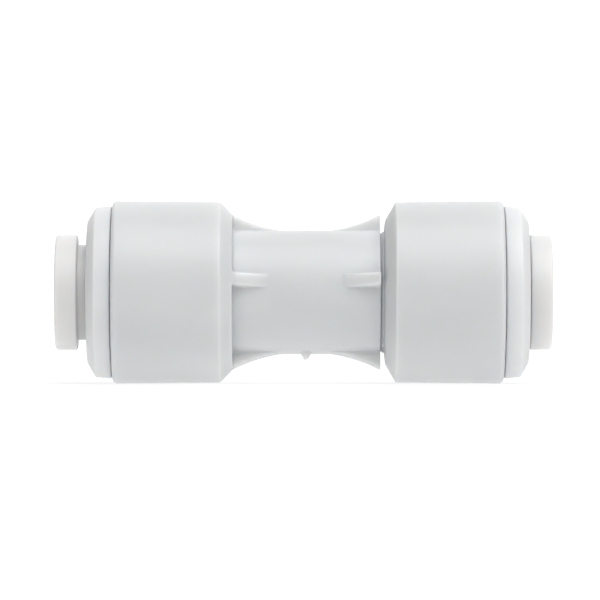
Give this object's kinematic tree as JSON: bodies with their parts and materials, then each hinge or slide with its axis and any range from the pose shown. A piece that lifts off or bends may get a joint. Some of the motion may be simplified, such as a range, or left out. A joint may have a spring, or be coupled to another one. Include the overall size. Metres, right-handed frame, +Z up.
{
  "type": "push fit coupling",
  "caption": "Straight push fit coupling in white plastic: two collet ports joined by a slim finned waist.",
  "frame": {"origin": "on the tube axis, midway between the two cap faces", "axes": "+X along the tube axis, from the port whose collet is drawn out to the port whose collet is pressed in; +Z up as the part lies"},
  "size_m": [0.041, 0.015, 0.015],
  "materials": {
    "housing_plastic": "satin moulded",
    "cap_plastic": "satin moulded",
    "collet_plastic": "smooth moulded",
    "washer_plastic": "satin moulded",
    "seal_rubber": "smooth",
    "tooth_steel": "rolled sheet"
  },
  "bodies": {
    "coupling_body": {"main_body": "housing_plastic", "end_housing": "housing_plastic", "left_cap": "cap_plastic", "right_cap": "cap_plastic", "left_support_washer": "washer_plastic", "right_support_washer": "washer_plastic", "left_o_ring": "seal_rubber", "right_o_ring": "seal_rubber"},
    "left_collet": {"left_collet": "collet_plastic", "left_grip_tooth_1": "tooth_steel", "left_grip_tooth_2": "tooth_steel", "left_grip_tooth_3": "tooth_steel", "left_grip_tooth_4": "tooth_steel", "left_grip_tooth_5": "tooth_steel", "left_grip_tooth_6": "tooth_steel"},
    "right_collet": {"right_collet": "collet_plastic", "right_grip_tooth_1": "tooth_steel", "right_grip_tooth_2": "tooth_steel", "right_grip_tooth_3": "tooth_steel", "right_grip_tooth_4": "tooth_steel", "right_grip_tooth_5": "tooth_steel", "right_grip_tooth_6": "tooth_steel"}
  },
  "joints": [
    {"name": "left_collet_slide", "type": "slide", "parent": "coupling_body", "child": "left_collet", "axis": [1, 0, 0], "range_m": [0, 0.00073]},
    {"name": "right_collet_slide", "type": "slide", "parent": "coupling_body", "child": "right_collet", "axis": [1, 0, 0], "range_m": [0, 0.00073]}
  ]
}
